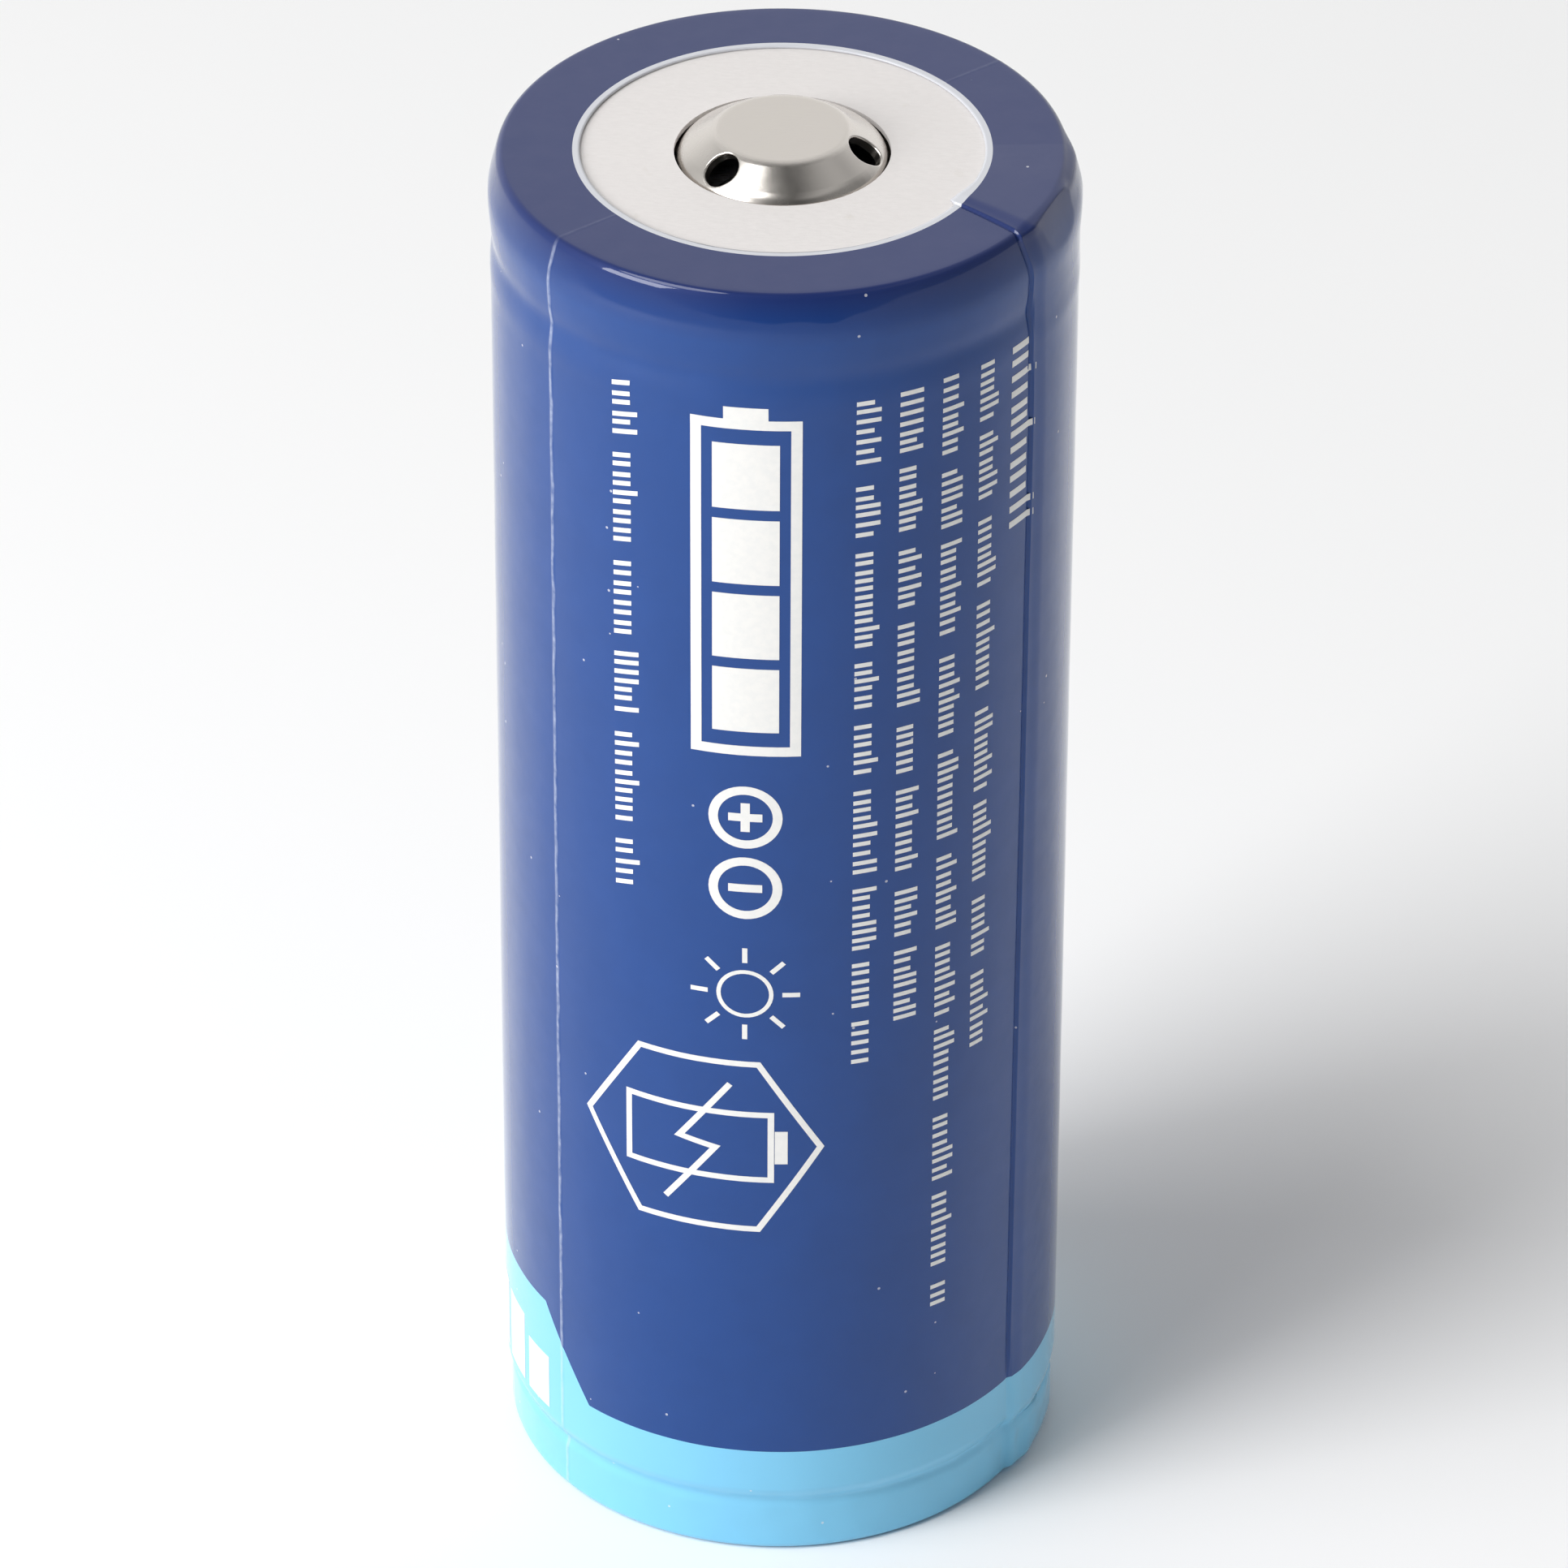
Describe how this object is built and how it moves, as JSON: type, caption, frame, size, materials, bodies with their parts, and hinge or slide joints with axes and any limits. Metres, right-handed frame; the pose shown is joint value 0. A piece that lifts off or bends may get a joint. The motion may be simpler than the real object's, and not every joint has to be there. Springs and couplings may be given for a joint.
{
  "type": "cylindrical battery cell",
  "caption": "Protected cylindrical lithium-ion cell with a vented button top, in a two-blue heat-shrink film over a strip ridge, with its closure, wound roll and protection board inside.",
  "frame": {"origin": "centre of the negative contact's underside, where the cell stands", "axes": "+Z along the cell's axis to the positive button, -Y to the front, the strip's ridge at +X towards the front"},
  "size_m": [0.0267, 0.0264, 0.071],
  "materials": {
    "aluminium_foil": "mill finish",
    "aluminium_sheet": "mill finish",
    "amber_tape": "amber polyimide tape",
    "anode_coating": "graphite on copper foil",
    "board_laminate": "green solder mask on glass-epoxy laminate",
    "can_steel": "bright nickel plate",
    "capacitor_body": "tan ceramic",
    "cathode_coating": "oxide on aluminium foil",
    "clear_plastic": "milky polypropylene",
    "contact_plate": "gold flash on copper",
    "fish_paper": "pale fibre",
    "gasket_plastic": "black polypropylene",
    "insulator_board": "phenolic fibre disc",
    "nickel_cap": "polished nickel plate, satin on the flat",
    "nickel_strip": "dull nickel strip",
    "package_epoxy": "black moulding compound",
    "pin_steel": "bright nickel plate",
    "printed_film": "glossy printed heat-shrink film in two blues",
    "ptc_polymer": "metal-faced conductive polymer",
    "resistor_body": "black glazed film on ceramic",
    "roll_tape": "green adhesive tape",
    "separator_film": "white microporous film",
    "spacer_plastic": "black moulded plastic",
    "tinned_leads": "matte tin",
    "white_paper": "white insulating paper"
  },
  "bodies": {
    "cell": {"heat_shrink_wrap": "printed_film", "insulating_ring": "white_paper", "positive_cap": "nickel_cap", "can": "can_steel", "crimp_gasket": "gasket_plastic", "ptc_ring": "ptc_polymer", "vent_disc": "aluminium_sheet", "interrupt_insulator": "clear_plastic", "interrupt_plate": "aluminium_sheet", "crimp_insulator": "fish_paper", "positive_tab": "aluminium_foil", "negative_tab": "nickel_strip", "top_insulator": "insulator_board", "bottom_insulator": "insulator_board", "inner_separator": "separator_film", "outer_separator": "separator_film", "anode_strip": "anode_coating", "cathode_strip": "cathode_coating", "roll_tape": "roll_tape", "centre_pin": "pin_steel", "positive_strip": "nickel_strip", "strip_under_tape": "amber_tape", "strip_over_tape": "amber_tape", "negative_link": "nickel_strip", "can_film": "fish_paper", "board_spacer": "spacer_plastic", "protection_board": "board_laminate", "negative_contact": "contact_plate", "power_transistors": "package_epoxy", "protection_chip": "package_epoxy", "package_leads": "tinned_leads", "chip_resistors": "resistor_body", "chip_capacitors": "capacitor_body"},
    "vent": {"vent_centre": "aluminium_sheet"}
  },
  "joints": [
    {"name": "vent_snap", "type": "slide", "parent": "cell", "child": "vent", "axis": [0, 0, 1], "range_m": [0, 0.0008]}
  ]
}
